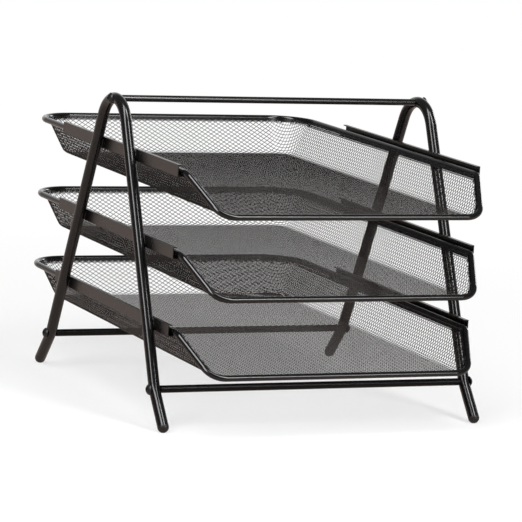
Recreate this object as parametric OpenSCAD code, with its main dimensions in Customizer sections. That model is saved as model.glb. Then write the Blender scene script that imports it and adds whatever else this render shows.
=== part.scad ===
// Three-tier paper tray: two bent-tube side frames, three cross rods, six rails and three
// sliding mesh trays. Millimetres, +Z up, the open low lip of each tray faces -Y.

/* [Side frames] */
// Distance between the centre planes of the two side frames
frame_gap = 275; // [240:1:320]
// Height of the arch's crown above the top edge of the upper rails
arch_rise = 40.6; // [30:0.1:60]
// Outside diameter of the leg tube
leg_d = 9.2; // [8:0.1:12]
// Wall of the leg tube
leg_wall = 1; // [0.7:0.1:1.5]
// Lean of each leg from the vertical, in degrees
leg_lean = 24.4; // [22:0.1:28]
// Lean of each foot from the vertical, in degrees
foot_lean = 40.6; // [30:0.1:48]
// Centreline radius of the arch bend
arch_r = 27.5; // [20:0.5:34]
// Centreline radius of the knee bends
knee_r = 30; // [24:0.5:34]
// Height of the knees above the floor
knee_h = 29.8; // [24:0.1:34]

/* [Cross rods] */
// Diameter of the rod between the two arches
top_rod_d = 5.5; // [5:0.1:7]
// Diameter of the two rods between the knees
base_rod_d = 6; // [5:0.1:7]

/* [Screws] */
// Diameter of the screw shank
screw_d = 3; // [2.5:0.1:3.5]
// Diameter of the domed screw head
head_d = 9; // [7:0.1:10]
// Height of the domed screw head
head_h = 2.8; // [2:0.1:3.5]
// Length of shank that bites into a cross rod
screw_bite = 10; // [6:0.5:16]
// Width of each slot of the cross recess in a head
recess_w = 1; // [0.6:0.1:1.4]
// Length of each slot of the cross recess in a head
recess_len = 4; // [3:0.1:5]
// Depth of the cross recess in a head
recess_depth = 1.2; // [0.6:0.1:1.8]

/* [Foot plugs] */
// Length of the plug stem inside the tube
plug_stem = 9; // [5:0.5:14]
// Depth of the flat worn into the underside of a plug
plug_flat = 0.3; // [0.1:0.05:0.6]

/* [Rails] */
// Length of each rail
rail_len = 250; // [200:1:270]
// Height of the rail web
rail_web = 9.5; // [8.5:0.1:12]
// Depth of the lower flange that carries the rim wire
rail_shelf = 7; // [6.5:0.1:9]
// Depth of the upper flange that keeps the rim wire down
rail_lip = 3.4; // [2:0.1:4.5]
// Thickness of the rail sheet
rail_sheet = 0.8; // [0.6:0.1:1.2]
// Height of the top edge of the lower rails above the floor
lower_rail_h = 83.3; // [76:0.1:90]
// Rise from the lower rails to the middle rails
middle_rise = 61.75; // [55:0.25:66]
// Rise from the middle rails to the upper rails
upper_rise = 64.85; // [58:0.05:68]

/* [Tray rims] */
// Diameter of the rim wire
wire_d = 5; // [4:0.1:6]
// Distance from a rail's outer face to the centre of the rim wire
wire_inset = 5.3; // [4.5:0.1:6.5]
// Distance from the middle of the frame to the rear wire
rear_reach = 211; // [190:1:225]
// Distance from the rail's front end to the corner where the wire turns down
bend_reach = 5; // [4.5:0.1:12]
// Length of the sloping front of the rim, measured along Y
slope_run = 39.5; // [34:0.5:50]
// Drop from the rim to the front bar
slope_drop = 28.5; // [24:0.5:32]
// Lean of the basket walls from the vertical, in degrees
wall_lean = 28; // [20:0.5:32]
// Centreline radius of the rear corners of the rim
rear_corner_r = 33; // [30:0.5:45]
// Centreline radius of the front corners of the rim
front_corner_r = 16; // [12:0.5:20]
// Centreline radius where the wire turns down at the front
slope_bend_r = 12; // [8:0.5:13]

/* [Mesh baskets] */
// Thickness of the mesh sheet and of the hem strip
mesh_t = 0.8; // [0.6:0.1:1.2]
// Width of the hem, from the centre of the rim wire to the hem's inner edge
hem_w = 3.7; // [3.5:0.1:6]
// Radius between the basket wall and its floor
floor_r = 8; // [4:0.5:10]
// Diamond gaps across one full row of the floor net
net_cols = 4; // [3:1:6]
// Rows of diamond gaps along the floor net
net_rows = 19; // [9:2:21]
// Gaps along each side wall
side_gaps = 12; // [6:1:12]
// Gaps across the rear wall
rear_gaps = 8; // [4:1:12]
// Width of a strand between two gaps
net_strand = 3; // [2:0.1:4]

/* [Hidden] */
$fn = 48;
// Running gap between a rim wire and the shelf that carries it
run_gap = 0.3;
// Radial play of a screw in its holes, and of a plug stem in its tube
screw_play = 0.2;
plug_play = 0.05;
// Depth left past the end of a screw in a rod
bore_spare = 2;
// Overrun of every cut
cut = 1;
// Rise of the mesh edge above the line where it meets the wire
edge_rise = 1;
// Clearance between the front wire and the mesh edge that follows it
edge_gap = 0.1;
// Width of floor that belongs to the wall's own strip of sheet
floor_lap = 4;
// Border of plain sheet round the floor net, and above the gaps of a wall
net_border = 3;
// Steps of a rounded edge in a drawn outline
arc_steps = 6;
// Low bead that joins each straight run of rod to its bend, and the joint that it fills
bead_len = 0.8;
bead_rise = 0.02;
bead_joint = 0.1;

frame_colour = "#1b1b1d";
rail_colour = "#2f2c2b";
wire_colour = "#161617";
mesh_colour = "#2a2929";
plug_colour = "#101011";

rail_tops = [lower_rail_h, lower_rail_h + middle_rise, lower_rail_h + middle_rise + upper_rise];

side_x = frame_gap / 2;
leg_r = leg_d / 2;
tube_bore = leg_d - 2 * leg_wall;
arch_z = rail_tops[2] + arch_rise - leg_r;
peak_z = arch_z + arch_r * (1 / sin(leg_lean) - 1);
knee_y = (peak_z - knee_h) * tan(leg_lean);
foot_z = leg_r - plug_flat;
foot_y = knee_y + (knee_h - foot_z) * tan(foot_lean);
rod_x = side_x - leg_r;
knee_turn = foot_lean - leg_lean;
// The knee bend passes inside its corner point by this much
knee_sag = knee_r * (1 / cos(knee_turn / 2) - 1);
knee_tilt = (foot_lean + leg_lean) / 2;
knee_mid_y = knee_y + knee_sag * cos(knee_tilt);
knee_mid_z = knee_h + knee_sag * sin(knee_tilt);

rail_x = rod_x;
wire_r = wire_d / 2;
wire_x = rail_x - wire_inset;
bend_y = -rail_len / 2 - bend_reach;
front_y = bend_y - slope_run;
front_x = wire_x - slope_drop * tan(wall_lean);
wire_lift = rail_sheet + run_gap + wire_r - rail_web;

// The part's origin is the middle of its box, so the frame is moved by half the difference
box_mid_y = (rear_reach + front_y) / 2;

slope_len = norm([slope_run, slope_drop]);
slope_angle = atan2(slope_drop, slope_run);
// Widening of the front window for each unit along the slope
window_flare = (wire_x - front_x) / slope_len;
window_far = 2 * (rear_reach - front_y);

function unit(v) = v / norm(v);
function arc_points(centre, r, from, to) =
    [for (i = [0 : arc_steps]) let (a = from + (to - from) * i / arc_steps)
        centre + r * [cos(a), sin(a)]];
function mirrored(points) = [for (i = [len(points) - 1 : -1 : 0]) [-points[i].x, points[i].y]];
// Matrix that carries the local axes to three unit vectors at a place
function axes(x, y, z, at) = [
    [x.x, y.x, z.x, at.x], [x.y, y.y, z.y, at.y], [x.z, y.z, z.z, at.z], [0, 0, 0, 1]];
function across(v) = unit(abs(v.z) > abs(v.x) ? cross(v, [1, 0, 0]) : cross(v, [0, 0, 1]));
// Turn of a path at point p, and the length of straight that its bend takes on each side
function turn_at(a, p, b) = acos(unit(p - a) * unit(b - p));
function bend_take(a, p, b, r) = r * tan(turn_at(a, p, b) / 2);
function wire_z(tier) = rail_tops[tier] + wire_lift;

// Straight length of rod from a to b
module rod_run(a, b, d) {
    along = unit(b - a);
    side = across(along);
    multmatrix(axes(side, cross(along, side), along, a))
        cylinder(d = d, h = norm(b - a));
}

// Bend of rod at corner p, on the way from a to b
module rod_bend(a, p, b, r, d) {
    along = unit(p - a);
    onward = unit(b - p);
    inward = unit(onward - along * (along * onward));
    centre = p - along * bend_take(a, p, b, r) + inward * r;
    multmatrix(axes(-inward, along, cross(-inward, along), centre))
        rotate_extrude(angle = turn_at(a, p, b))
            translate([r, 0])
                circle(d = d);
}

// Bead over the joint at a point of the rod
module rod_bead(at, along, d) {
    rod_run(at - along * bead_len / 2, at + along * bead_len / 2, d + 2 * bead_rise);
}

// Rod through a list of corners, each rounded by its own radius, open or closed into a loop
module rod_path(corners, radii, d, closed = false) {
    n = len(corners);
    bends = [closed ? 0 : 1 : closed ? n - 1 : n - 2];
    function bent(i) = closed || (i > 0 && i < n - 1);
    function take(i) = bent(i)
        ? bend_take(corners[(i + n - 1) % n], corners[i], corners[(i + 1) % n], radii[i])
        : 0;
    function back(i) = bent(i) ? take(i) + bead_joint : 0;
    for (i = [0 : closed ? n - 1 : n - 2]) {
        next = (i + 1) % n;
        along = unit(corners[next] - corners[i]);
        rod_run(corners[i] + along * back(i), corners[next] - along * back(next), d);
    }
    for (i = bends) {
        before = corners[(i + n - 1) % n];
        after = corners[(i + 1) % n];
        rod_bend(before, corners[i], after, radii[i], d);
        for (far = [before, after]) {
            along = unit(far - corners[i]);
            rod_bead(corners[i] + along * take(i), along, d);
        }
    }
}

// Everything is drawn about the middle of the frame and then moved to the part's origin
module placed() {
    translate([0, -box_mid_y, 0])
        children();
}

// side is -1 on the left and 1 on the right
module leg_path(side, d, spare) {
    down = [0, sin(foot_lean), -cos(foot_lean)];
    x = side * side_x;
    front_end = [x, -foot_y, foot_z] + spare * [0, -down.y, down.z];
    rear_end = [x, foot_y, foot_z] + spare * down;
    rod_path([front_end, [x, -knee_y, knee_h], [x, 0, peak_z], [x, knee_y, knee_h], rear_end],
        [0, knee_r, arch_r, knee_r, 0], d);
}

module screw_hole(side, y, z) {
    translate([side * side_x, y, z])
        rotate([0, 90, 0])
            cylinder(d = screw_d + 2 * screw_play, h = leg_d + 2 * cut, center = true);
}

module side_frame(side) {
    color(frame_colour)
        placed()
            difference() {
                leg_path(side, leg_d, 0);
                leg_path(side, tube_bore, cut);
                screw_hole(side, 0, arch_z);
                screw_hole(side, -knee_mid_y, knee_mid_z);
                screw_hole(side, knee_mid_y, knee_mid_z);
            }
}

module cross_rod(d, y, z) {
    bore_depth = screw_bite + bore_spare;
    color(frame_colour)
        placed()
            translate([-rod_x, y, z])
                rotate([0, 90, 0])
                    difference() {
                        cylinder(d = d, h = 2 * rod_x);
                        for (start = [-cut, 2 * rod_x - bore_depth])
                            translate([0, 0, start])
                                cylinder(d = screw_d, h = bore_depth + cut);
                    }
}

// Domed screw whose head sits on the outside of the tube
module screw(side, y, z) {
    dome_r = (pow(head_d / 2, 2) + pow(head_h, 2)) / (2 * head_h);
    shank_len = leg_d + screw_bite;
    color(plug_colour)
        placed()
            translate([side * (side_x + leg_r), y, z])
                rotate([0, side * 90, 0]) {
                    difference() {
                        intersection() {
                            translate([0, 0, head_h - dome_r])
                                sphere(r = dome_r);
                            cylinder(d = head_d, h = head_h);
                        }
                        for (turn = [0, 90])
                            rotate(turn)
                                translate([-recess_len / 2, -recess_w / 2, head_h - recess_depth])
                                    cube([recess_len, recess_w, recess_depth + cut]);
                    }
                    translate([0, 0, -shank_len])
                        cylinder(d = screw_d, h = shank_len);
                }
}

// end is -1 at the front and 1 at the rear
module foot_plug(side, end) {
    color(plug_colour)
        placed()
            difference() {
                translate([side * side_x, end * foot_y, foot_z])
                    rotate([180 - end * -foot_lean, 0, 0]) {
                        intersection() {
                            sphere(d = leg_d);
                            translate([-leg_r, -leg_r, 0])
                                cube([leg_d, leg_d, leg_r]);
                        }
                        translate([0, 0, -plug_stem])
                            cylinder(d = tube_bore - 2 * plug_play, h = plug_stem);
                    }
                translate([side * side_x - leg_d, end * foot_y - leg_d, -leg_d])
                    cube([2 * leg_d, 2 * leg_d, leg_d]);
            }
}

module rail(side, tier) {
    top = rail_tops[tier];
    color(rail_colour)
        placed()
            scale([side, 1, 1])
                translate([rail_x, rail_len / 2, top])
                    rotate([90, 0, 0])
                        linear_extrude(rail_len)
                            polygon([
                                [0, 0], [-rail_lip, 0], [-rail_lip, -rail_sheet],
                                [-rail_sheet, -rail_sheet],
                                [-rail_sheet, rail_sheet - rail_web],
                                [-rail_shelf, rail_sheet - rail_web],
                                [-rail_shelf, -rail_web], [0, -rail_web]]);
}

module rim_wire(tier) {
    z = wire_z(tier);
    low = z - slope_drop;
    color(wire_colour)
        placed()
            rod_path([
                [-front_x, front_y, low], [front_x, front_y, low],
                [wire_x, bend_y, z], [wire_x, rear_reach, z],
                [-wire_x, rear_reach, z], [-wire_x, bend_y, z]],
                [front_corner_r, front_corner_r, slope_bend_r,
                rear_corner_r, rear_corner_r, slope_bend_r],
                wire_d, closed = true);
}

// Cross-section of the basket, measured from the centre of the rim wire. An inset of 0 is the
// mesh sheet itself, and an inset of mesh_t the layer that lies inside it.
function wall_normal() = [cos(wall_lean), -sin(wall_lean)];
function wall_down() = [-sin(wall_lean), -cos(wall_lean)];
function floor_depth(inset) = slope_drop + mesh_t - inset;
function wall_offset(inset) = wire_r + inset;
function wall_length(inset) =
    (floor_depth(inset) + wall_offset(inset) * sin(wall_lean)) / cos(wall_lean);
function wall_foot(inset) =
    (wall_offset(inset) * wall_normal() * -1 + wall_down() * wall_length(inset)).x;
function floor_edge(inset) = wall_foot(inset) - (floor_r - inset) * tan((90 - wall_lean) / 2);
function lap_edge(inset) = floor_edge(inset) - floor_lap;
function wall_outline(inset) =
    let (
        r = floor_r - inset,
        centre = [floor_edge(inset), r - floor_depth(inset)],
        top = wall_offset(inset) * wall_normal() * -1 - wall_down() * edge_rise,
        outer = arc_points(centre, r, -90, -wall_lean),
        inner = arc_points(centre, r - mesh_t, -wall_lean, -90)
    )
    concat(
        [[lap_edge(inset), -floor_depth(inset)]], outer,
        [top, top - mesh_t * wall_normal()],
        inner, [[lap_edge(inset), mesh_t - floor_depth(inset)]]);

// Wall of a basket on three sides: two straight sides, two rounded rear corners and the rear
module basket_wall(inset) {
    corner_x = wire_x - rear_corner_r;
    corner_y = rear_reach - rear_corner_r;
    for (side = [-1, 1])
        scale([side, 1, 1]) {
            translate([wire_x, corner_y, 0])
                rotate([90, 0, 0])
                    linear_extrude(corner_y - front_y)
                        polygon(wall_outline(inset));
            translate([corner_x, corner_y, 0])
                rotate_extrude(angle = 90)
                    translate([rear_corner_r, 0])
                        polygon(wall_outline(inset));
        }
    translate([-corner_x, rear_reach, 0])
        rotate([90, 0, 90])
            linear_extrude(2 * corner_x)
                polygon(wall_outline(inset));
}

// Floor of a basket, whose edge lies this far out from the centre of the rim wire
module basket_floor(inset, edge) {
    edge_x = wire_x + edge;
    edge_y = rear_reach + edge;
    corner_r = rear_corner_r + edge;
    translate([0, 0, -floor_depth(inset)])
        linear_extrude(mesh_t) {
            translate([-edge_x, front_y])
                square([2 * edge_x, edge_y - corner_r - front_y]);
            translate([corner_r - edge_x, front_y])
                square([2 * (edge_x - corner_r), edge_y - front_y]);
            for (side = [-1, 1])
                translate([side * (edge_x - corner_r), edge_y - corner_r])
                    circle(corner_r);
        }
}

// Prism square to the sloping front, whose outline follows the inside of the front wire at a
// distance from the wire's centre
module front_window(distance) {
    flare = window_flare;
    skew = norm([1, flare]);
    r = front_corner_r;
    centre = [front_x + flare * r - skew * r, r];
    right = concat(
        arc_points(centre, r - distance, -90, -atan(flare)),
        [[front_x + flare * window_far - skew * distance, window_far]]);
    translate([0, front_y, -slope_drop])
        rotate([slope_angle, 0, 0])
            linear_extrude(window_far, center = true)
                polygon(concat(right, mirrored(right)));
}

// Row of gaps along X through all that stands between two places along Y
module gap_row(start_x, end_x, count, start_y, end_y) {
    pitch = (end_x - start_x) / count;
    low = floor_r - floor_depth(0) - (floor_r - mesh_t) * sin(wall_lean);
    high = -(hem_w + net_border) * cos(wall_lean);
    for (i = [0 : count - 1])
        translate([start_x + i * pitch + net_strand / 2, start_y, low])
            cube([pitch - net_strand, end_y - start_y, high - low]);
}

module wall_gaps() {
    corner_x = wire_x - rear_corner_r;
    corner_y = rear_reach - rear_corner_r;
    rotate(90)
        gap_row(bend_y, corner_y, side_gaps, -side_x, side_x);
    gap_row(-corner_x, corner_x, rear_gaps, corner_y, rear_reach);
}

module mesh_wall(tier) {
    color(mesh_colour)
        placed()
            translate([0, 0, wire_z(tier)])
                difference() {
                    intersection() {
                        basket_wall(0);
                        front_window(wire_r + edge_gap);
                    }
                    wall_gaps();
                }
}

// One diamond gap of the net, drawn in by half a strand on every side
module net_gap(half_w, half_l) {
    reach = half_w * half_l / norm([half_w, half_l]);
    share = (reach - net_strand / 2) / reach;
    polygon(share * [[half_w, 0], [0, half_l], [-half_w, 0], [0, -half_l]]);
}

module floor_net() {
    half_w = (wire_x + lap_edge(0) - net_border) / net_cols;
    start_y = front_y + wire_r + net_border;
    end_y = rear_reach + lap_edge(0) - net_border;
    half_l = (end_y - start_y) / (net_rows + 1);
    for (row = [1 : net_rows]) {
        count = net_cols - (row + 1) % 2;
        for (col = [1 : count])
            translate([(2 * col - count - 1) * half_w, start_y + row * half_l])
                net_gap(half_w, half_l);
    }
}

module mesh_floor(tier) {
    color(mesh_colour)
        placed()
            translate([0, 0, wire_z(tier)])
                difference() {
                    intersection() {
                        basket_floor(0, lap_edge(0));
                        front_window(wire_r + edge_gap);
                    }
                    translate([0, 0, -floor_depth(0) - cut])
                        linear_extrude(mesh_t + 2 * cut)
                            floor_net();
                }
}

// Strip folded over the mesh edge, all the way round inside the rim wire
module hem(tier) {
    wide = frame_gap + window_far;
    color(wire_colour)
        placed()
            translate([0, 0, wire_z(tier)])
                difference() {
                    intersection() {
                        union() {
                            basket_wall(mesh_t);
                            basket_floor(mesh_t, floor_edge(mesh_t));
                        }
                        front_window(wire_r + edge_gap);
                    }
                    intersection() {
                        front_window(hem_w);
                        translate([-wide / 2, -wide / 2, -wide - hem_w * cos(wall_lean)])
                            cube(wide);
                    }
                }
}

module left_side_frame() { side_frame(-1); }
module right_side_frame() { side_frame(1); }
module top_cross_rod() { cross_rod(top_rod_d, 0, arch_z); }
module front_cross_rod() { cross_rod(base_rod_d, -knee_mid_y, knee_mid_z); }
module rear_cross_rod() { cross_rod(base_rod_d, knee_mid_y, knee_mid_z); }
module left_top_screw() { screw(-1, 0, arch_z); }
module right_top_screw() { screw(1, 0, arch_z); }
module left_front_screw() { screw(-1, -knee_mid_y, knee_mid_z); }
module right_front_screw() { screw(1, -knee_mid_y, knee_mid_z); }
module left_rear_screw() { screw(-1, knee_mid_y, knee_mid_z); }
module right_rear_screw() { screw(1, knee_mid_y, knee_mid_z); }
module left_front_foot_plug() { foot_plug(-1, -1); }
module left_rear_foot_plug() { foot_plug(-1, 1); }
module right_front_foot_plug() { foot_plug(1, -1); }
module right_rear_foot_plug() { foot_plug(1, 1); }
module left_upper_rail() { rail(-1, 2); }
module left_middle_rail() { rail(-1, 1); }
module left_lower_rail() { rail(-1, 0); }
module right_upper_rail() { rail(1, 2); }
module right_middle_rail() { rail(1, 1); }
module right_lower_rail() { rail(1, 0); }
module upper_rim_wire() { rim_wire(2); }
module upper_hem() { hem(2); }
module upper_mesh_wall() { mesh_wall(2); }
module upper_mesh_floor() { mesh_floor(2); }
module middle_rim_wire() { rim_wire(1); }
module middle_hem() { hem(1); }
module middle_mesh_wall() { mesh_wall(1); }
module middle_mesh_floor() { mesh_floor(1); }
module lower_rim_wire() { rim_wire(0); }
module lower_hem() { hem(0); }
module lower_mesh_wall() { mesh_wall(0); }
module lower_mesh_floor() { mesh_floor(0); }

left_side_frame();
right_side_frame();
top_cross_rod();
front_cross_rod();
rear_cross_rod();
left_top_screw();
right_top_screw();
left_front_screw();
right_front_screw();
left_rear_screw();
right_rear_screw();
left_front_foot_plug();
left_rear_foot_plug();
right_front_foot_plug();
right_rear_foot_plug();
left_upper_rail();
left_middle_rail();
left_lower_rail();
right_upper_rail();
right_middle_rail();
right_lower_rail();
upper_rim_wire();
upper_hem();
upper_mesh_wall();
upper_mesh_floor();
middle_rim_wire();
middle_hem();
middle_mesh_wall();
middle_mesh_floor();
lower_rim_wire();
lower_hem();
lower_mesh_wall();
lower_mesh_floor();
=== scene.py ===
"""Three-tier paper tray: two bent-tube frames, six channel rails and three sliding mesh trays.

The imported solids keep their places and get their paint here. The fine expanded mesh of the trays
replaces the coarse net that stands for it in the solids.
"""

import math

import bmesh
import bpy
from mathutils import Matrix, Vector


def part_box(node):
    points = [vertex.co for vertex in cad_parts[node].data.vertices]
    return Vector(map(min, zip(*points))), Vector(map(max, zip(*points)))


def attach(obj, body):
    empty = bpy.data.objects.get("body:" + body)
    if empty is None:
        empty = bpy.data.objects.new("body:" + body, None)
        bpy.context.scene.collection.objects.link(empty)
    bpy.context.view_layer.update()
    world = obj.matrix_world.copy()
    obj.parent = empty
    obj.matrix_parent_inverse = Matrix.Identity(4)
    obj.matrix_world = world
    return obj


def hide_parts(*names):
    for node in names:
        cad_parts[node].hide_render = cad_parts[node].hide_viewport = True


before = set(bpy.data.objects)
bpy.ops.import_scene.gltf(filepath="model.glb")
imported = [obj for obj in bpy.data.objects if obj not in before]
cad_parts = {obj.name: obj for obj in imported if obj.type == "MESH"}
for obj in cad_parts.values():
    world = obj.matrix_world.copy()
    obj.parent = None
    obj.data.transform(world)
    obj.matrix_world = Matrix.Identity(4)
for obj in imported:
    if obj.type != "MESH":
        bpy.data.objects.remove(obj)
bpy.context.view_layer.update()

MM = 0.001
TIERS = ("upper", "middle", "lower")

# Tray rims and baskets, as the solids have them. FLOOR_R is the outside of the bend between floor
# and wall. The slope is where the rim comes down to its low front
WIRE_R = 2.5 * MM
WALL_LEAN = math.radians(28)
SHEET_T = 0.8 * MM
FLOOR_R = 8 * MM
REAR_CORNER_R = 33 * MM
FRONT_CORNER_R = 16 * MM
SLOPE_RUN = 39.5 * MM
SLOPE_DROP = 28.5 * MM

# Expanded mesh. The long way of a diamond lies across the floor and up the side walls
DIAMOND_LONG = 5.65 * MM
DIAMOND_SHORT = 3.76 * MM
STRAND_W = 0.44 * MM
STRAND_T = 0.36 * MM
# How far a gap's edge rises at one blunt corner and sinks at the other, as stretching leaves it
STRAND_TWIST = 0.1 * MM
# Between the mesh and the rim wire at the sloping front
RIM_GAP = 0.2 * MM
# Length of sheet from the foot of a wall to its folded edge, level with the middle of the wire
WALL_LENGTH = 36.8 * MM

# Hem, where the sheet's edge is folded over and doubled. Its two layers together show gaps of half
# the size, and lie inside the middle of the sheet by the lift
HEM_LONG = DIAMOND_LONG / 2
HEM_SHORT = DIAMOND_SHORT / 2
HEM_STRAND_W = 0.66 * MM
HEM_LIFT = 0.5 * MM
HEM_HEIGHT = 4.3 * MM
HEM_BESIDE_WIRE = 0.7 * MM
FOLD_W = 0.7 * MM
FOLD_INSET = 0.3 * MM
FOLD_STEPS = 1440
# Halvings in the search for the edge of the sheet
EDGE_STEPS = 12


def srgb(code):
    """A hex colour as linear red, green, blue and alpha."""
    parts = [int(code[i : i + 2], 16) / 255 for i in (1, 3, 5)]
    linear = [c / 12.92 if c <= 0.04045 else ((c + 0.055) / 1.055) ** 2.4 for c in parts]
    return (*linear, 1.0)


def add(tree, kind, settings=None, links=None):
    """Adds a node. Settings are its properties or inputs, and links feed its inputs."""
    node = tree.nodes.new(kind)
    for key, value in (settings or {}).items():
        if isinstance(key, int) or key in node.inputs:
            node.inputs[key].default_value = value
        else:
            setattr(node, key, value)
    for key, source in (links or {}).items():
        tree.links.new(source, node.inputs[key])
    return node


PAINT_IOR = 1.5
# Lower than paint's own, for painted shade: a weaker gloss, so that the cross rods under the trays
# and the doubled edge of the mesh show hardly any light
ROD_SHADE_IOR = 1.25
HEM_SHADE_IOR = 1.35
# Breadth of the soft patches in which a film of paint drifts in colour and gloss
PATCH = 14 * MM
PATCH_DETAIL = 4.0
RIPPLE_DETAIL = 2.0
RIPPLE_STRENGTH = 0.5


def paint(name, dark, light, roughness, ripple, depth, ior=PAINT_IOR):
    """Black paint on steel or moulded black plastic, between two colours and two roughnesses.

    Ripple and depth are the breadth and height of the waves in its skin.
    """
    material = bpy.data.materials.new(name)
    material.use_nodes = True
    tree = material.node_tree
    shader = tree.nodes["Principled BSDF"]
    shader.inputs["IOR"].default_value = ior
    place = add(tree, "ShaderNodeTexCoord").outputs["Object"]
    patches = add(tree, "ShaderNodeTexNoise", {"Scale": 1 / PATCH, "Detail": PATCH_DETAIL},
                  {"Vector": place}).outputs["Fac"]
    waves = add(tree, "ShaderNodeTexNoise", {"Scale": 1 / ripple, "Detail": RIPPLE_DETAIL},
                {"Vector": place}).outputs["Fac"]
    colour = add(tree, "ShaderNodeMix", {"data_type": "RGBA", "A": srgb(dark), "B": srgb(light)},
                 {"Factor": patches})
    rough = add(tree, "ShaderNodeMapRange", {"To Min": roughness[0], "To Max": roughness[1]},
                {"Value": patches})
    skin = add(tree, "ShaderNodeBump", {"Strength": RIPPLE_STRENGTH, "Distance": depth},
               {"Height": waves})
    tree.links.new(colour.outputs["Result"], shader.inputs["Base Color"])
    tree.links.new(rough.outputs["Result"], shader.inputs["Roughness"])
    tree.links.new(skin.outputs["Normal"], shader.inputs["Normal"])
    return material


def powder_coated_steel_tube():
    """Powder melted on in an oven: deep black and glossy, with a fine orange peel that breaks the
    long streaks of light on the legs.
    """
    return paint("powder_coated_steel_tube", "#090909", "#0d0d0e", roughness=(0.15, 0.2),
                 ripple=1.1 * MM, depth=0.006 * MM)


def painted_shade_steel_rod():
    """The tube's powder coat with painted shade: darker colours and a weaker gloss stand in for the
    shade that the trays cast on the rods between the feet, which stay black, with hardly a line of
    light.
    """
    return paint("painted_shade_steel_rod", "#060606", "#090909", roughness=(0.2, 0.26),
                 ripple=0.5 * MM, depth=0.008 * MM, ior=ROD_SHADE_IOR)


def spray_painted_steel_channel():
    """Roll-formed sheet with a thin sprayed coat: a warmer, duller black that mirrors the legs
    beside it only softly.
    """
    return paint("spray_painted_steel_channel", "#0c0b0a", "#13110f", roughness=(0.24, 0.32),
                 ripple=0.7 * MM, depth=0.01 * MM)


def enamelled_steel_wire():
    """Drawn wire with a flowed coat: the smoothest of the blacks, with a sharp line of light."""
    return paint("enamelled_steel_wire", "#080808", "#0c0c0d", roughness=(0.11, 0.16),
                 ripple=1.6 * MM, depth=0.005 * MM)


def dip_painted_expanded_steel():
    """Slit and stretched sheet dipped in paint: strands a little brown, with a soft gloss that
    sparks where they twist.
    """
    return paint("dip_painted_expanded_steel", "#0b0a0a", "#141211", roughness=(0.16, 0.24),
                 ripple=0.6 * MM, depth=0.01 * MM)


def painted_shade_mesh_edge():
    """The mesh paint with painted shade: darker colours and a weaker gloss on the folded edge make a
    darker band round the open mesh.
    """
    return paint("painted_shade_mesh_edge", "#080808", "#0e0d0d", roughness=(0.16, 0.24),
                 ripple=0.6 * MM, depth=0.01 * MM, ior=HEM_SHADE_IOR)


def blackened_steel_screw():
    """Turned steel blackened in an oxide bath: dull, with the edge of the recess just catching
    light.
    """
    return paint("blackened_steel_screw", "#0c0c0d", "#151516", roughness=(0.3, 0.4),
                 ripple=0.4 * MM, depth=0.01 * MM)


def moulded_polyethylene_plug():
    """Soft plastic from a blasted mould: matt, with a fine even tooth, beside the glossy tube."""
    return paint("moulded_polyethylene_plug", "#0b0b0b", "#101010", roughness=(0.42, 0.52),
                 ripple=0.5 * MM, depth=0.03 * MM)


tube_paint = powder_coated_steel_tube()
rod_painted_shade = painted_shade_steel_rod()
rail_paint = spray_painted_steel_channel()
wire_paint = enamelled_steel_wire()
mesh_paint = dip_painted_expanded_steel()
hem_painted_shade = painted_shade_mesh_edge()
screw_finish = blackened_steel_screw()
plug_plastic = moulded_polyethylene_plug()

# Finish of each solid, by the first of these that its name contains
FINISHES = (
    ("side_frame", tube_paint),
    ("top_cross_rod", tube_paint),
    # The cross rods at the feet take the tube paint with painted shade
    ("cross_rod", rod_painted_shade),
    ("rail", rail_paint),
    ("screw", screw_finish),
    ("plug", plug_plastic),
    ("rim_wire", wire_paint),
    # The hem takes the mesh paint with painted shade
    ("hem", hem_painted_shade),
    ("mesh", mesh_paint),
)
for name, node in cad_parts.items():
    node.data.materials.clear()
    node.data.materials.append(next(finish for part, finish in FINISHES if part in name))


def basket_sizes():
    """Where the middle of the rim wire runs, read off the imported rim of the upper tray."""
    low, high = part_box("upper_rim_wire")
    return {
        "wire_x": high.x - WIRE_R,
        "rear_y": high.y - WIRE_R,
        "front_y": low.y + WIRE_R,
    }


def wire_height(tier):
    """Height of the middle of the rim wire along the sides and the rear of a tray."""
    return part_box(f"{tier}_rim_wire")[1].z - WIRE_R


def sheet_point(u, v, sizes):
    """Point of the folded sheet's middle over (u, v) of the flat sheet, its normal, and how far
    up the wall it lies.

    The sheet is flat in the floor, turns up round the floor's edge and leans outwards to the rim.
    Heights are measured from the centre of the rim wire.
    """
    corner_x = sizes["wire_x"] - REAR_CORNER_R
    corner_y = sizes["rear_y"] - REAR_CORNER_R
    depth = SLOPE_DROP + SHEET_T
    foot = (depth + WIRE_R * math.sin(WALL_LEAN)) * math.tan(WALL_LEAN) + WIRE_R * math.cos(WALL_LEAN)
    full_turn = math.pi / 2 - WALL_LEAN
    flat_r = REAR_CORNER_R - foot - FLOOR_R * math.tan(full_turn / 2)
    bend_r = FLOOR_R - SHEET_T / 2
    floor_z = SHEET_T / 2 - depth

    across = max(abs(u) - corner_x, 0)
    along = max(v - corner_y, 0)
    rho = math.hypot(across, along)
    up_wall = rho - flat_r
    if up_wall <= 0:
        return (u, v, floor_z), (0, 0, 1), up_wall
    turn = min(up_wall / bend_r, full_turn)
    straight = up_wall - turn * bend_r
    r = flat_r + bend_r * math.sin(turn) + straight * math.sin(WALL_LEAN)
    z = floor_z + bend_r * (1 - math.cos(turn)) + straight * math.cos(WALL_LEAN)
    side = 1 if u > 0 else -1
    out_x = side * across / rho
    out_y = along / rho
    x = side * min(abs(u), corner_x) + out_x * r
    y = min(v, corner_y) + out_y * r
    return (x, y, z), (-out_x * math.sin(turn), -out_y * math.sin(turn), math.cos(turn)), up_wall


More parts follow.
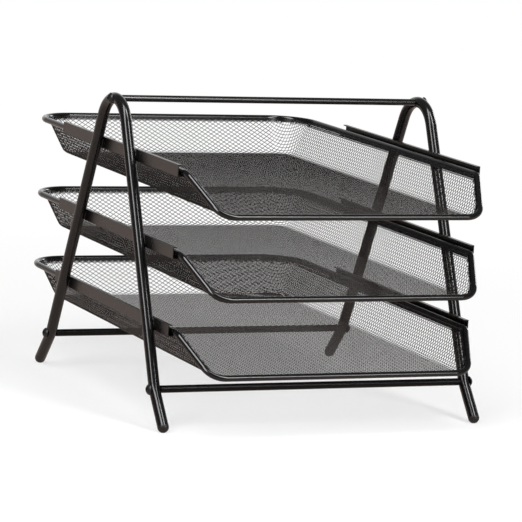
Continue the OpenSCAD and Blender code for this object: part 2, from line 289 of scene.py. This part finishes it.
def inside_rim(x, y, z, sizes, gap):
    """True if a point lies inside the sloping front of the rim wire by at least this gap."""
    slope = math.atan2(SLOPE_DROP, SLOPE_RUN)
    front_x = sizes["wire_x"] - SLOPE_DROP * math.tan(WALL_LEAN)
    flare = (sizes["wire_x"] - front_x) / math.hypot(SLOPE_RUN, SLOPE_DROP)
    skew = math.hypot(1, flare)
    up_slope = (y - sizes["front_y"]) * math.cos(slope) + (z + SLOPE_DROP) * math.sin(slope)
    corner_x = front_x + (flare - skew) * FRONT_CORNER_R
    if up_slope < FRONT_CORNER_R and abs(x) > corner_x:
        out = math.hypot(abs(x) - corner_x, up_slope - FRONT_CORNER_R)
        return out <= FRONT_CORNER_R - gap
    return up_slope >= gap and abs(x) <= front_x + flare * up_slope - skew * gap


def held(u, v, sizes, down=0, back=0):
    """True if the sheet over (u, v) is inside its own edge, by these widths below the top of the
    walls and back from the sloping rim.
    """
    spot, _, up_wall = sheet_point(u, v, sizes)
    return up_wall <= WALL_LENGTH - down and inside_rim(*spot, sizes, WIRE_R + RIM_GAP + back)


def drawn_in(u, v, sizes):
    """The place itself, or the sheet's edge on the way from it to the middle of the floor."""
    if held(u, v, sizes):
        return u, v
    low, high = 0.0, 1.0
    for _ in range(EDGE_STEPS):
        share = (low + high) / 2
        if held(u * share, v * share, sizes):
            low = share
        else:
            high = share
    return u * low, v * low


def lattice(name, cells, sizes, long, short, strand, lift, finish):
    """Closed mesh of diamonds: a ring above, a ring below and the walls of each gap.

    The lift is how far the middle of the strands lies inside the middle of the sheet.
    """
    half_u, half_v = long / 2, short / 2
    reach = half_u * half_v / math.hypot(half_u, half_v)
    share = (reach - strand / 2) / reach
    points, faces, index = [], [], {}

    def point(key, u, v, height):
        if key not in index:
            spot, normal, _ = sheet_point(u, v, sizes)
            index[key] = len(points)
            points.append([spot[k] + normal[k] * height for k in range(3)])
        return index[key]

    kept = set(cells)
    twist = (0, STRAND_TWIST, 0, -STRAND_TWIST)
    for i, j in cells:
        corners = ((i + 1, j), (i, j + 1), (i - 1, j), (i, j - 1))
        beside = ((i + 1, j + 1), (i - 1, j + 1), (i - 1, j - 1), (i + 1, j - 1))
        places = [drawn_in(a * half_u, b * half_v, sizes) for a, b in corners]
        middle = (i * half_u, j * half_v)
        gap = [[m + (c - m) * share for m, c in zip(middle, place)] for place in places]
        rings = []
        for half_t in (STRAND_T / 2, -STRAND_T / 2):
            outer = [
                point((half_t, *corner), *place, lift + half_t)
                for corner, place in zip(corners, places)
            ]
            inner = [
                point((half_t, i, j, k), *place, lift + half_t + twist[k])
                for k, place in enumerate(gap)
            ]
            rings += [outer, inner]
        top_out, top_in, low_out, low_in = rings
        for k in range(4):
            n = (k + 1) % 4
            faces.append((top_out[k], top_out[n], top_in[n], top_in[k]))
            faces.append((low_out[n], low_out[k], low_in[k], low_in[n]))
            faces.append((top_in[k], top_in[n], low_in[n], low_in[k]))
            if beside[k] not in kept:
                faces.append((top_out[n], top_out[k], low_out[k], low_out[n]))
    mesh = bpy.data.meshes.new(name)
    mesh.from_pydata(points, [], faces)
    mesh.materials.append(finish)
    return mesh


def cells_of(sizes, long, short):
    """Every diamond of this size whose middle is on the sheet, with how far up a wall it lies."""
    half_u, half_v = long / 2, short / 2
    reach_u = sizes["wire_x"] - REAR_CORNER_R + 2 * WALL_LENGTH
    reach_v = sizes["rear_y"] - REAR_CORNER_R + 2 * WALL_LENGTH
    for j in range(int(sizes["front_y"] / half_v), int(reach_v / half_v)):
        for i in range(-int(reach_u / half_u), int(reach_u / half_u)):
            if (i + j) % 2 == 0 and held(i * half_u, j * half_v, sizes):
                yield i, j, sheet_point(i * half_u, j * half_v, sizes)[2]


def sheet_mesh(part, sizes):
    """The floor or the wall of a basket in single mesh."""
    cells = [
        (i, j) for i, j, up_wall in cells_of(sizes, DIAMOND_LONG, DIAMOND_SHORT)
        if (up_wall > 0) == (part == "wall")
    ]
    return lattice(f"expanded_{part}", cells, sizes, DIAMOND_LONG, DIAMOND_SHORT, STRAND_W,
                   lift=0, finish=mesh_paint)


def fold(mesh, sizes):
    """Adds the rounded edge where the sheet turns back on itself, all the way round."""
    whole = bmesh.new()
    whole.from_mesh(mesh)
    # Beyond the sheet all the way round, to be drawn in to its edge
    far = 2 * sizes["rear_y"]
    rings = []
    for step in range(FOLD_STEPS):
        angle = 2 * math.pi * step / FOLD_STEPS
        u, v = drawn_in(far * math.cos(angle), far * math.sin(angle), sizes)
        outer = 1 - FOLD_INSET / math.hypot(u, v)
        inner = outer - FOLD_W / math.hypot(u, v)
        ring = []
        for share, height in ((outer, -STRAND_T), (outer, STRAND_T), (inner, STRAND_T),
                              (inner, -STRAND_T)):
            spot, normal, _ = sheet_point(u * share, v * share, sizes)
            ring.append(whole.verts.new([spot[k] + normal[k] * height for k in range(3)]))
        rings.append(ring)
    for ring, onward in zip(rings, rings[1:] + rings[:1]):
        for k in range(4):
            n = (k + 1) % 4
            whole.faces.new((ring[k], ring[n], onward[n], onward[k]))
    bmesh.ops.recalc_face_normals(whole, faces=whole.faces)
    whole.to_mesh(mesh)
    whole.free()


def joined_by_sides(strip):
    """The diamonds of a strip, less those that meet another at a tip with nothing beside it.

    A diamond's neighbours by side are one step away both ways, and those by tip two steps one way.
    """
    strip = {
        (i, j) for i, j in strip if any((i + a, j + b) in strip for a in (-1, 1) for b in (-1, 1))
    }
    lone = True
    while lone:
        lone = set()
        for i, j in strip:
            for a, b in ((2, 0), (0, 2)):
                beside = {(i + 1, j + 1), (i + a - 1, j + b - 1)}
                if (i + a, j + b) in strip and not beside & strip:
                    lone |= {(i, j), (i + a, j + b)}
        strip = strip - lone
    return sorted(strip)


def hem_mesh(sizes):
    """The doubled edge of a basket: fine diamonds along the rim and the fold that ends them."""
    strip = {
        (i, j) for i, j, _ in cells_of(sizes, HEM_LONG, HEM_SHORT)
        if not held(i * HEM_LONG / 2, j * HEM_SHORT / 2, sizes, HEM_HEIGHT, HEM_BESIDE_WIRE)
    }
    mesh = lattice("folded_hem", joined_by_sides(strip), sizes, HEM_LONG, HEM_SHORT, HEM_STRAND_W,
                   lift=HEM_LIFT, finish=hem_painted_shade)
    fold(mesh, sizes)
    return mesh


def weave_baskets():
    """Wall, floor and hem of fine mesh for each tray."""
    sizes = basket_sizes()
    forms = {
        ("expanded_wall", "mesh_wall"): sheet_mesh("wall", sizes),
        ("expanded_floor", "mesh_floor"): sheet_mesh("floor", sizes),
        ("folded_hem", "hem"): hem_mesh(sizes),
    }
    for (part, node), mesh in forms.items():
        for tier in TIERS:
            piece = bpy.data.objects.new(f"{tier}_{part}", mesh)
            piece.location.z = wire_height(tier)
            bpy.context.scene.collection.objects.link(piece)
            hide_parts(f"{tier}_{node}")
            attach(piece, f"{tier}_tray")


# Rails: rolled sheet with softly rounded edges
EDGE_ROUND = 0.2 * MM
EDGE_SEGMENTS = 2
SAME_POINT = 0.01 * MM


def round_rail_edges():
    """Rolled sheet has no sharp edge: the small round along each one catches the light."""
    for name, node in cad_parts.items():
        if name.endswith("_rail"):
            join = node.modifiers.new("joined_faces", "WELD")
            join.merge_threshold = SAME_POINT
            edge = node.modifiers.new("rolled_edge", "BEVEL")
            edge.width = EDGE_ROUND
            edge.segments = EDGE_SEGMENTS
            edge.limit_method = "ANGLE"
            edge.harden_normals = True


# Legs that the rails are welded to, as the solids have them
LEG_R = 4.6 * MM
LEG_LEAN = math.radians(24.4)
ARCH_R = 27.5 * MM

# A bead of weld on either side of a leg. It stands out of the rail's web, swells and sinks along its
# length, and rounds off to a small end
WELD_R = 0.9 * MM
WELD_LENGTH = 8 * MM
WELD_OUT = 0.35 * MM
WELD_BESIDE = 1.9 * MM
WELD_RIPPLE = 1.2 * MM
WELD_SWELL = 0.1
WELD_BLUNTNESS = 4
WELD_END = 0.1
WELD_RINGS = 28
WELD_SIDES = 12


def weld_mesh():
    """Two beads of weld, one on each side of a leg, that run along the local Z."""
    points, faces = [], []
    for beside in (-WELD_BESIDE, WELD_BESIDE):
        start = len(points)
        for ring in range(WELD_RINGS):
            along = (ring / (WELD_RINGS - 1) - 0.5) * 2
            z = along * WELD_LENGTH / 2
            end = math.sqrt(max(1 - along**WELD_BLUNTNESS, WELD_END**2))
            r = WELD_R * end * (1 + WELD_SWELL * math.cos(2 * math.pi * z / WELD_RIPPLE))
            for side in range(WELD_SIDES):
                turn = 2 * math.pi * side / WELD_SIDES
                points.append((r * math.cos(turn), beside + r * math.sin(turn), z))
        for ring in range(WELD_RINGS - 1):
            low = start + ring * WELD_SIDES
            for side in range(WELD_SIDES):
                n = (side + 1) % WELD_SIDES
                faces.append((low + side, low + n, low + WELD_SIDES + n, low + WELD_SIDES + side))
        faces.append([start + side for side in reversed(range(WELD_SIDES))])
        last = start + (WELD_RINGS - 1) * WELD_SIDES
        faces.append([last + side for side in range(WELD_SIDES)])
    mesh = bpy.data.meshes.new("rail_weld")
    mesh.from_pydata(points, [], faces)
    mesh.materials.append(tube_paint)
    for face in mesh.polygons:
        face.use_smooth = True
    return mesh


def weld_rails():
    """Beads of weld where each rail meets a front and a rear leg."""
    mesh = weld_mesh()
    low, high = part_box("left_side_frame")
    middle_y = (low.y + high.y) / 2
    peak_z = high.z - LEG_R + ARCH_R * (1 / math.sin(LEG_LEAN) - 1)
    for side, sign in (("left", -1), ("right", 1)):
        for tier in TIERS:
            low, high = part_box(f"{side}_{tier}_rail")
            z = (low.z + high.z) / 2
            web_x = low.x if sign < 0 else high.x
            for leg, end in (("front", -1), ("rear", 1)):
                piece = bpy.data.objects.new(f"{side}_{tier}_rail_{leg}_weld", mesh)
                y = middle_y + end * (peak_z - z) * math.tan(LEG_LEAN)
                piece.location = (web_x + sign * WELD_OUT, y, z)
                piece.rotation_euler = (end * LEG_LEAN, 0, 0)
                bpy.context.scene.collection.objects.link(piece)
                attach(piece, "frame")


weave_baskets()
round_rail_edges()
weld_rails()


def towards(azimuth, elevation):
    """Direction from the object, in degrees: azimuth 0 is straight in front of it, at -Y, and to
    the right is positive.
    """
    a, e = math.radians(azimuth), math.radians(elevation)
    return Vector((math.sin(a) * math.cos(e), -math.cos(a) * math.cos(e), math.sin(e)))


# Camera, from the vanishing lines and known sizes in the photograph
CAMERA_AZIMUTH = -24.80
CAMERA_ELEVATION = 9.19
CAMERA_ROLL = math.radians(3.77)
CAMERA_DISTANCE = 2.75
AIM = Vector((0.00135, -0.02075, 0.1108))
FOCAL_PX = 3305
IMAGE_PX = 522
SENSOR_MM = 36

# Backdrop: it fades in over these cosines of the angle from the camera's heading, and out over these
# sines of the height above the horizon
ROOM_LEVEL = 0.15
BACKDROP_SIDES = (0.6, 0.9)
BACKDROP_TOP = (0.75, 0.4)


def room():
    """White backdrop behind the object and a dim room in front of it.

    The camera sees white all round. Gloss sees the white only where the backdrop stands.
    """
    world = bpy.data.worlds.new("room")
    bpy.context.scene.world = world
    world.use_nodes = True
    tree = world.node_tree
    tree.nodes.clear()
    path = add(tree, "ShaderNodeLightPath").outputs
    way = add(tree, "ShaderNodeTexCoord").outputs["Generated"]
    ahead = -towards(CAMERA_AZIMUTH, 0)
    square = add(tree, "ShaderNodeVectorMath", {"operation": "DOT_PRODUCT", 1: ahead}, {0: way})
    behind = add(tree, "ShaderNodeMapRange",
                 {"From Min": BACKDROP_SIDES[0], "From Max": BACKDROP_SIDES[1]},
                 {"Value": square.outputs["Value"]})
    height = add(tree, "ShaderNodeSeparateXYZ", links={"Vector": way}).outputs["Z"]
    low = add(tree, "ShaderNodeMapRange",
              {"From Min": BACKDROP_TOP[0], "From Max": BACKDROP_TOP[1]}, {"Value": height})
    backdrop = add(tree, "ShaderNodeMath", {"operation": "MULTIPLY"},
                   {0: behind.outputs["Result"], 1: low.outputs["Result"]})
    glossy = add(tree, "ShaderNodeMath", {"operation": "MULTIPLY"},
                 {0: backdrop.outputs[0], 1: path["Is Glossy Ray"]})
    clear = add(tree, "ShaderNodeMath", {"operation": "MAXIMUM"},
                {0: path["Is Camera Ray"], 1: path["Is Transmission Ray"]})
    shown = add(tree, "ShaderNodeMath", {"operation": "MAXIMUM"},
                {0: glossy.outputs[0], 1: clear.outputs[0]})
    dim = add(tree, "ShaderNodeBackground", {"Color": srgb("#ffffff"), "Strength": ROOM_LEVEL})
    white = add(tree, "ShaderNodeBackground", {"Color": srgb("#ffffff"), "Strength": 1.0})
    mix = add(tree, "ShaderNodeMixShader",
              links={0: shown.outputs[0], 1: dim.outputs[0], 2: white.outputs[0]})
    add(tree, "ShaderNodeOutputWorld", links={"Surface": mix.outputs[0]})


# Floor: the strength of its own white near the object, and the distances between which that rises
# to plain white
FLOOR_HALF = 12.0
NEAR_WHITE = 0.65
FLOOR_NEAR = 0.3
FLOOR_FAR = 0.8
FLOOR_IN_GLOSS = "#cdbcb4"


def white_floor():
    """Matte white floor that keeps the shadow near the object and fades to plain white far off.

    Gloss sees it as it is away from the lamps, dimmer and a little warm.
    """
    material = bpy.data.materials.new("matte_white_floor")
    material.use_nodes = True
    tree = material.node_tree
    tree.nodes.clear()
    path = add(tree, "ShaderNodeLightPath").outputs
    place = add(tree, "ShaderNodeNewGeometry").outputs["Position"]
    away = add(tree, "ShaderNodeVectorMath", {"operation": "LENGTH"}, {0: place})
    white = add(tree, "ShaderNodeMapRange",
                {"From Min": FLOOR_NEAR, "From Max": FLOOR_FAR, "To Min": NEAR_WHITE, "To Max": 1.0},
                {"Value": away.outputs["Value"]})
    clear = add(tree, "ShaderNodeMath", {"operation": "MAXIMUM"},
                {0: path["Is Camera Ray"], 1: path["Is Transmission Ray"]})
    shown = add(tree, "ShaderNodeMath", {"operation": "MULTIPLY"},
                {0: clear.outputs[0], 1: white.outputs["Result"]})
    share = add(tree, "ShaderNodeMath", {"operation": "MAXIMUM"},
                {0: shown.outputs[0], 1: path["Is Glossy Ray"]})
    matte = add(tree, "ShaderNodeBsdfDiffuse", {"Color": srgb("#efefef")})
    colour = add(tree, "ShaderNodeMix",
                 {"data_type": "RGBA", "A": srgb("#ffffff"), "B": srgb(FLOOR_IN_GLOSS)},
                 {"Factor": path["Is Glossy Ray"]})
    glow = add(tree, "ShaderNodeEmission", {"Strength": 1.0}, {"Color": colour.outputs["Result"]})
    mix = add(tree, "ShaderNodeMixShader",
              links={0: share.outputs[0], 1: matte.outputs[0], 2: glow.outputs[0]})
    add(tree, "ShaderNodeOutputMaterial", links={"Surface": mix.outputs[0]})
    return material


def floor():
    """One wide sheet at the height of the feet."""
    mesh = bpy.data.meshes.new("floor")
    h = FLOOR_HALF
    mesh.from_pydata([(-h, -h, 0), (h, -h, 0), (h, h, 0), (-h, h, 0)], [], [(0, 1, 2, 3)])
    mesh.materials.append(white_floor())
    piece = bpy.data.objects.new("floor", mesh)
    bpy.context.scene.collection.objects.link(piece)


LAMP_DISTANCE = 2.2
# Name, azimuth, elevation, width, height and radiance. The left and right softboxes give the long
# streaks on the legs and arches, the low one those on the front bars and the top rod, and the side
# one lights the outside of the right frame
SOFTBOXES = (
    ("left_softbox", -58, 52, 0.6, 2.6, 9.2),
    ("right_softbox", 20, 50, 0.33, 2.1, 16.0),
    ("low_softbox", 26, 20, 0.25, 0.8, 8.6),
    ("right_side_softbox", 114, 18, 0.5, 0.4, 10.0),
)


def softbox(name, azimuth, elevation, width, height, radiance):
    """Soft lamp that faces the object and that the camera doesn't see."""
    data = bpy.data.lights.new(name, "AREA")
    data.shape = "RECTANGLE"
    data.size = width
    data.size_y = height
    data.energy = radiance * math.pi * width * height
    lamp = bpy.data.objects.new(name, data)
    way = towards(azimuth, elevation)
    lamp.location = way * LAMP_DISTANCE
    lamp.rotation_euler = (-way).to_track_quat("-Z", "Y").to_euler()
    lamp.visible_camera = False
    bpy.context.scene.collection.objects.link(lamp)


def portrait_camera():
    """Camera of the photograph, moved up and to the left by half a pixel, because places in the
    photograph were read at the middles of its pixels.
    """
    ahead = -towards(CAMERA_AZIMUTH, CAMERA_ELEVATION)
    level = ahead.cross(Vector((0, 0, 1))).normalized()
    upright = level.cross(ahead)
    right = level * math.cos(CAMERA_ROLL) + upright * math.sin(CAMERA_ROLL)
    up = upright * math.cos(CAMERA_ROLL) - level * math.sin(CAMERA_ROLL)
    half_px = 0.5 * CAMERA_DISTANCE / FOCAL_PX
    data = bpy.data.cameras.new("portrait")
    data.lens = SENSOR_MM * FOCAL_PX / IMAGE_PX
    data.sensor_width = SENSOR_MM
    camera = bpy.data.objects.new("portrait", data)
    bpy.context.scene.collection.objects.link(camera)
    turn = Matrix((right, up, -ahead)).transposed().to_4x4()
    place = AIM - ahead * CAMERA_DISTANCE + (up - right) * half_px
    camera.matrix_world = Matrix.Translation(place) @ turn
    bpy.context.scene.camera = camera


room()
floor()
for lamp in SOFTBOXES:
    softbox(*lamp)
portrait_camera()
bpy.context.scene.view_settings.view_transform = "Standard"
